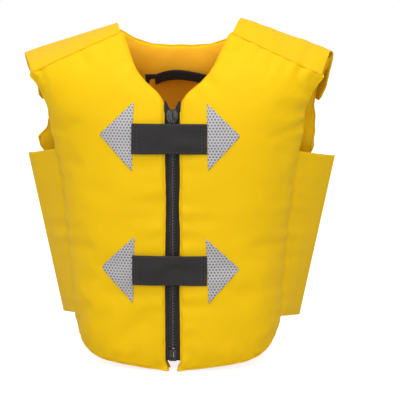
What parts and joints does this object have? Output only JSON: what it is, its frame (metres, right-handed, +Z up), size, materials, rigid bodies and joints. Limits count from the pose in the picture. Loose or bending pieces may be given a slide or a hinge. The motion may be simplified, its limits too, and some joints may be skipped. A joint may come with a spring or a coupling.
{
  "type": "inflatable life jacket",
  "caption": "Sleeveless child buoyancy vest: foam panels in yellow fabric, separating front zip, hook-and-loop bands across it, and closing flaps at the shoulders and sides.",
  "frame": {"origin": "on the wearer's middle line, midway between chest and back in the plane of the side seams, at the height of the front hem's lowest point", "axes": "+Z up, +X to the wearer's left, -Y the way the wearer faces"},
  "size_m": [0.3602, 0.1988, 0.3809],
  "materials": {
    "shell_fabric": "satin coated nylon weave",
    "lining": "matt nylon weave",
    "foam": "matt closed-cell foam",
    "hook_tape": "matt hook tape",
    "loop_tape": "fuzzy loop tape",
    "webbing": "matt woven webbing",
    "reflective_film": "prismatic retroreflective film with a dot grid",
    "zip_tape": "matt woven tape",
    "zip_plastic": "moulded acetal",
    "zip_metal": "black enamel, worn at the edges"
  },
  "bodies": {
    "back": {"back_cover": "shell_fabric", "back_foam": "foam", "back_lining": "lining", "shoulder_loop_tape_left": "loop_tape", "shoulder_loop_tape_right": "loop_tape", "side_loop_tape_left": "loop_tape", "side_loop_tape_right": "loop_tape", "hanger_tab_left": "webbing", "hanger_tab_right": "webbing"},
    "front_left": {"front_left_cover": "shell_fabric", "front_left_foam": "foam", "front_left_lining": "lining", "shoulder_strap_left": "shell_fabric", "side_flap_front_left": "shell_fabric", "upper_triangle_left": "reflective_film", "lower_triangle_left": "reflective_film", "zip_tape_left": "zip_tape", "zip_teeth_left": "zip_plastic", "zip_top_stop_left": "zip_plastic", "zip_box": "zip_plastic"},
    "front_right": {"front_right_cover": "shell_fabric", "front_right_foam": "foam", "front_right_lining": "lining", "shoulder_strap_right": "shell_fabric", "side_flap_front_right": "shell_fabric", "upper_triangle_right": "reflective_film", "lower_triangle_right": "reflective_film", "zip_tape_right": "zip_tape", "zip_teeth_right": "zip_plastic", "zip_top_stop_right": "zip_plastic", "zip_pin": "zip_plastic", "upper_band_loop_tape": "hook_tape", "lower_band_loop_tape": "hook_tape"},
    "upper_band": {"upper_band": "webbing", "upper_band_hook_tape": "hook_tape"},
    "lower_band": {"lower_band": "webbing", "lower_band_hook_tape": "hook_tape"},
    "shoulder_flap_left": {"shoulder_flap_left": "shell_fabric", "shoulder_hook_tape_left": "hook_tape"},
    "shoulder_flap_right": {"shoulder_flap_right": "shell_fabric", "shoulder_hook_tape_right": "hook_tape"},
    "side_flap_left": {"side_flap_left": "shell_fabric", "side_hook_tape_left": "hook_tape"},
    "side_flap_right": {"side_flap_right": "shell_fabric", "side_hook_tape_right": "hook_tape"},
    "zip_slider": {"zip_slider": "zip_metal", "zip_slider_back": "zip_metal", "zip_slider_bridge": "zip_metal"},
    "zip_pull": {"zip_pull": "zip_metal"},
    "hanger_loop": {"hanger_loop": "webbing"}
  },
  "joints": [
    {"name": "front_left_hinge", "type": "hinge", "parent": "back", "child": "front_left", "pos_m": [0.1365, 0.012, 0.044], "axis": [0.2042, 0, 0.9789], "range_deg": [0, 55]},
    {"name": "front_right_hinge", "type": "hinge", "parent": "back", "child": "front_right", "pos_m": [-0.1365, 0.012, 0.044], "axis": [0.2042, 0, -0.9789], "range_deg": [0, 55]},
    {"name": "upper_band_hinge", "type": "hinge", "parent": "front_left", "child": "upper_band", "pos_m": [0.03827, -0.1005, 0.2595], "axis": [0, 0, 1], "range_deg": [0, 160]},
    {"name": "lower_band_hinge", "type": "hinge", "parent": "front_left", "child": "lower_band", "pos_m": [0.03841, -0.1005, 0.1145], "axis": [0, 0, 1], "range_deg": [0, 160]},
    {"name": "shoulder_flap_left_hinge", "type": "hinge", "parent": "back", "child": "shoulder_flap_left", "pos_m": [0.07305, 0.01537, 0.37955], "axis": [0.9424, 0.0398, -0.332], "range_deg": [0, 120]},
    {"name": "shoulder_flap_right_hinge", "type": "hinge", "parent": "back", "child": "shoulder_flap_right", "pos_m": [-0.07305, 0.01537, 0.37955], "axis": [0.9424, -0.0398, 0.332], "range_deg": [0, 120]},
    {"name": "side_flap_left_hinge", "type": "hinge", "parent": "back", "child": "side_flap_left", "pos_m": [0.1365, 0.012, 0.044], "axis": [-0.2042, 0, -0.9789], "range_deg": [0, 90]},
    {"name": "side_flap_right_hinge", "type": "hinge", "parent": "back", "child": "side_flap_right", "pos_m": [-0.1365, 0.012, 0.044], "axis": [-0.2042, 0, 0.9789], "range_deg": [0, 90]},
    {"name": "zip_slide", "type": "slide", "parent": "front_left", "child": "zip_slider", "axis": [0, 0, -1], "range_m": [0, 0.2495]},
    {"name": "zip_pull_hinge", "type": "hinge", "parent": "zip_slider", "child": "zip_pull", "pos_m": [0, -0.0937, 0.2788], "axis": [-1, 0, 0], "range_deg": [0, 25]},
    {"name": "hanger_loop_hinge", "type": "hinge", "parent": "back", "child": "hanger_loop", "pos_m": [0, 0.02565, 0.31458], "axis": [1, 0, 0], "range_deg": [-12, 12]}
  ],
  "couplings": [
    {"joint": "front_right_hinge", "follows": "front_left_hinge", "ratio": 1}
  ]
}
